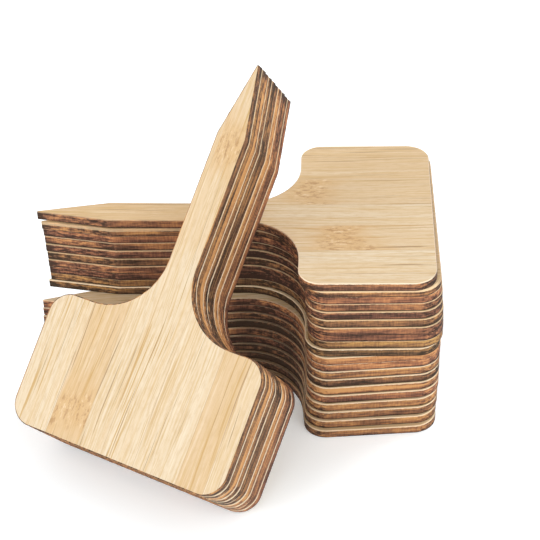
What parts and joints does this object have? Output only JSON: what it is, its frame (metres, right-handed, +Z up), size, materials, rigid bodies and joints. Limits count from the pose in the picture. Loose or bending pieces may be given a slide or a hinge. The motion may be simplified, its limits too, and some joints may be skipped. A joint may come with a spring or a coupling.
{
  "type": "plant label set",
  "caption": "Set of flat T-shaped bamboo plant labels, each a broad writing head on a pointed spike, in bundles stacked flat with a further bundle leaning on them.",
  "frame": {"origin": "middle of the lowest label's head, on its underside, which is on the table", "axes": "+Z up from the table; the lowest label's spike points along -X and its head's end edge faces +X; the leaning bundle stands on the -Y side, which faces the viewer"},
  "size_m": [0.1089, 0.1018, 0.0874],
  "materials": {
    "lower_bamboo": "sanded bamboo face with dark laser-burnt edges",
    "upper_bamboo": "sanded bamboo face with dark laser-burnt edges",
    "leaning_bamboo": "sanded bamboo face with dark laser-burnt edges"
  },
  "bodies": {
    "lower_label_01": {"lower_label_01": "lower_bamboo"},
    "lower_label_02": {"lower_label_02": "lower_bamboo"},
    "lower_label_03": {"lower_label_03": "lower_bamboo"},
    "lower_label_04": {"lower_label_04": "lower_bamboo"},
    "lower_label_05": {"lower_label_05": "lower_bamboo"},
    "lower_label_06": {"lower_label_06": "lower_bamboo"},
    "lower_label_07": {"lower_label_07": "lower_bamboo"},
    "lower_label_08": {"lower_label_08": "lower_bamboo"},
    "lower_label_09": {"lower_label_09": "lower_bamboo"},
    "lower_label_10": {"lower_label_10": "lower_bamboo"},
    "upper_label_01": {"upper_label_01": "upper_bamboo"},
    "upper_label_02": {"upper_label_02": "upper_bamboo"},
    "upper_label_03": {"upper_label_03": "upper_bamboo"},
    "upper_label_04": {"upper_label_04": "upper_bamboo"},
    "upper_label_05": {"upper_label_05": "upper_bamboo"},
    "upper_label_06": {"upper_label_06": "upper_bamboo"},
    "upper_label_07": {"upper_label_07": "upper_bamboo"},
    "upper_label_08": {"upper_label_08": "upper_bamboo"},
    "upper_label_09": {"upper_label_09": "upper_bamboo"},
    "upper_label_10": {"upper_label_10": "upper_bamboo"},
    "leaning_label_01": {"leaning_label_01": "leaning_bamboo"},
    "leaning_label_02": {"leaning_label_02": "leaning_bamboo"},
    "leaning_label_03": {"leaning_label_03": "leaning_bamboo"},
    "leaning_label_04": {"leaning_label_04": "leaning_bamboo"},
    "leaning_label_05": {"leaning_label_05": "leaning_bamboo"},
    "leaning_label_06": {"leaning_label_06": "leaning_bamboo"},
    "leaning_label_07": {"leaning_label_07": "leaning_bamboo"},
    "leaning_label_08": {"leaning_label_08": "leaning_bamboo"},
    "leaning_label_09": {"leaning_label_09": "leaning_bamboo"},
    "leaning_label_10": {"leaning_label_10": "leaning_bamboo"}
  },
  "joints": [
    {"name": "lower_label_02_draw", "type": "slide", "parent": "lower_label_01", "child": "lower_label_02", "axis": [1, 0.0035, 0], "range_m": [0, 0.105]},
    {"name": "lower_label_03_draw", "type": "slide", "parent": "lower_label_01", "child": "lower_label_03", "axis": [1, 0.0087, 0], "range_m": [0, 0.105]},
    {"name": "lower_label_04_draw", "type": "slide", "parent": "lower_label_01", "child": "lower_label_04", "axis": [0.9999, 0.0113, 0], "range_m": [0, 0.105]},
    {"name": "lower_label_05_draw", "type": "slide", "parent": "lower_label_01", "child": "lower_label_05", "axis": [0.9999, 0.0157, 0], "range_m": [0, 0.105]},
    {"name": "lower_label_06_draw", "type": "slide", "parent": "lower_label_01", "child": "lower_label_06", "axis": [0.9999, 0.0166, 0], "range_m": [0, 0.105]},
    {"name": "lower_label_07_draw", "type": "slide", "parent": "lower_label_01", "child": "lower_label_07", "axis": [0.9999, 0.0148, 0], "range_m": [0, 0.105]},
    {"name": "lower_label_08_draw", "type": "slide", "parent": "lower_label_01", "child": "lower_label_08", "axis": [0.9999, 0.0122, 0], "range_m": [0, 0.105]},
    {"name": "lower_label_09_draw", "type": "slide", "parent": "lower_label_01", "child": "lower_label_09", "axis": [1, 0.0087, 0], "range_m": [0, 0.105]},
    {"name": "lower_label_10_draw", "type": "slide", "parent": "lower_label_01", "child": "lower_label_10", "axis": [1, 0.0035, 0], "range_m": [0, 0.105]},
    {"name": "upper_label_01_draw", "type": "slide", "parent": "lower_label_01", "child": "upper_label_01", "axis": [0.9976, -0.0689, 0], "range_m": [0, 0.105]},
    {"name": "upper_label_02_draw", "type": "slide", "parent": "lower_label_01", "child": "upper_label_02", "axis": [0.9978, -0.0663, 0], "range_m": [0, 0.105]},
    {"name": "upper_label_03_draw", "type": "slide", "parent": "lower_label_01", "child": "upper_label_03", "axis": [0.9979, -0.0654, 0], "range_m": [0, 0.105]},
    {"name": "upper_label_04_draw", "type": "slide", "parent": "lower_label_01", "child": "upper_label_04", "axis": [0.9977, -0.0671, 0], "range_m": [0, 0.105]},
    {"name": "upper_label_05_draw", "type": "slide", "parent": "lower_label_01", "child": "upper_label_05", "axis": [0.9977, -0.0671, 0], "range_m": [0, 0.105]},
    {"name": "upper_label_06_draw", "type": "slide", "parent": "lower_label_01", "child": "upper_label_06", "axis": [0.9977, -0.0671, 0], "range_m": [0, 0.105]},
    {"name": "upper_label_07_draw", "type": "slide", "parent": "lower_label_01", "child": "upper_label_07", "axis": [0.9977, -0.0671, 0], "range_m": [0, 0.105]},
    {"name": "upper_label_08_draw", "type": "slide", "parent": "lower_label_01", "child": "upper_label_08", "axis": [0.9976, -0.0689, 0], "range_m": [0, 0.105]},
    {"name": "upper_label_09_draw", "type": "slide", "parent": "lower_label_01", "child": "upper_label_09", "axis": [0.9975, -0.0706, 0], "range_m": [0, 0.105]},
    {"name": "upper_label_10_draw", "type": "slide", "parent": "lower_label_01", "child": "upper_label_10", "axis": [0.9966, -0.0819, 0], "range_m": [0, 0.105]},
    {"name": "leaning_label_01_lift", "type": "slide", "parent": "lower_label_01", "child": "leaning_label_01", "axis": [-0.3857, -0.5762, 0.7206], "range_m": [0, 0.03]},
    {"name": "leaning_label_02_lift", "type": "slide", "parent": "leaning_label_01", "child": "leaning_label_02", "axis": [-0.3857, -0.5762, 0.7206], "range_m": [0, 0.03]},
    {"name": "leaning_label_03_lift", "type": "slide", "parent": "leaning_label_02", "child": "leaning_label_03", "axis": [-0.3857, -0.5762, 0.7206], "range_m": [0, 0.03]},
    {"name": "leaning_label_04_lift", "type": "slide", "parent": "leaning_label_03", "child": "leaning_label_04", "axis": [-0.3857, -0.5762, 0.7206], "range_m": [0, 0.03]},
    {"name": "leaning_label_05_lift", "type": "slide", "parent": "leaning_label_04", "child": "leaning_label_05", "axis": [-0.3857, -0.5762, 0.7206], "range_m": [0, 0.03]},
    {"name": "leaning_label_06_lift", "type": "slide", "parent": "leaning_label_05", "child": "leaning_label_06", "axis": [-0.3857, -0.5762, 0.7206], "range_m": [0, 0.03]},
    {"name": "leaning_label_07_lift", "type": "slide", "parent": "leaning_label_06", "child": "leaning_label_07", "axis": [-0.3857, -0.5762, 0.7206], "range_m": [0, 0.03]},
    {"name": "leaning_label_08_lift", "type": "slide", "parent": "leaning_label_07", "child": "leaning_label_08", "axis": [-0.3857, -0.5762, 0.7206], "range_m": [0, 0.03]},
    {"name": "leaning_label_09_lift", "type": "slide", "parent": "leaning_label_08", "child": "leaning_label_09", "axis": [-0.3857, -0.5762, 0.7206], "range_m": [0, 0.03]},
    {"name": "leaning_label_10_lift", "type": "slide", "parent": "leaning_label_09", "child": "leaning_label_10", "axis": [-0.3857, -0.5762, 0.7206], "range_m": [0, 0.03]}
  ]
}
